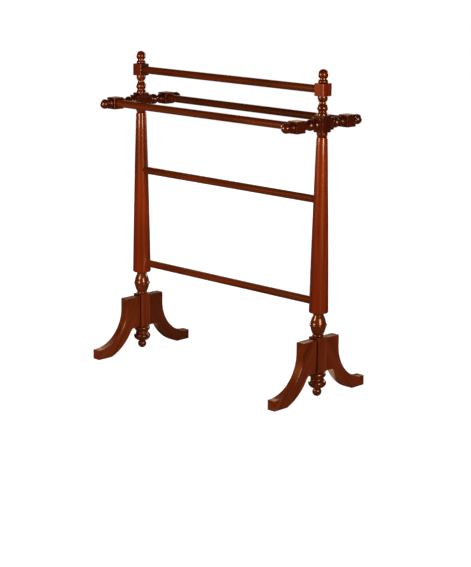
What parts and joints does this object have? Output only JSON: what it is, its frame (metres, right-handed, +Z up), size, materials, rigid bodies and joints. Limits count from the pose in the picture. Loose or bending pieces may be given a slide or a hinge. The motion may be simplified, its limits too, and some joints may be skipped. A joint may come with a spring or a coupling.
{
  "type": "quilt rack",
  "caption": "Free-standing turned wooden quilt rack: column stands on sabre legs carry a high centre rail, side rails on cross arms, and lower rails between the columns.",
  "frame": {"origin": "on the floor, at the middle of the rack between its two posts", "axes": "+X runs along the rails towards the right stand, -Y is the front, +Z is up"},
  "size_m": [0.784, 0.381, 0.926],
  "materials": {
    "mahogany": "dark red-brown mahogany stain under a clear gloss lacquer",
    "rail_mahogany": "dark red-brown mahogany stain under a clear gloss lacquer, grain along the rail",
    "dowel_beech": "bare beech dowel, hidden in its joint"
  },
  "bodies": {
    "root": {"left_upper_post": "mahogany", "left_column": "mahogany", "left_hub_post": "mahogany", "left_pendant": "mahogany", "left_cross_arm": "mahogany", "left_front_leg": "mahogany", "left_front_leg_lower_dowel": "dowel_beech", "left_front_leg_upper_dowel": "dowel_beech", "left_back_leg": "mahogany", "left_back_leg_lower_dowel": "dowel_beech", "left_back_leg_upper_dowel": "dowel_beech", "right_upper_post": "mahogany", "right_column": "mahogany", "right_hub_post": "mahogany", "right_pendant": "mahogany", "right_cross_arm": "mahogany", "right_front_leg": "mahogany", "right_front_leg_lower_dowel": "dowel_beech", "right_front_leg_upper_dowel": "dowel_beech", "right_back_leg": "mahogany", "right_back_leg_lower_dowel": "dowel_beech", "right_back_leg_upper_dowel": "dowel_beech", "top_rail": "rail_mahogany", "front_rail": "rail_mahogany", "back_rail": "rail_mahogany", "middle_rail": "rail_mahogany", "lower_rail": "rail_mahogany"}
  },
  "joints": []
}
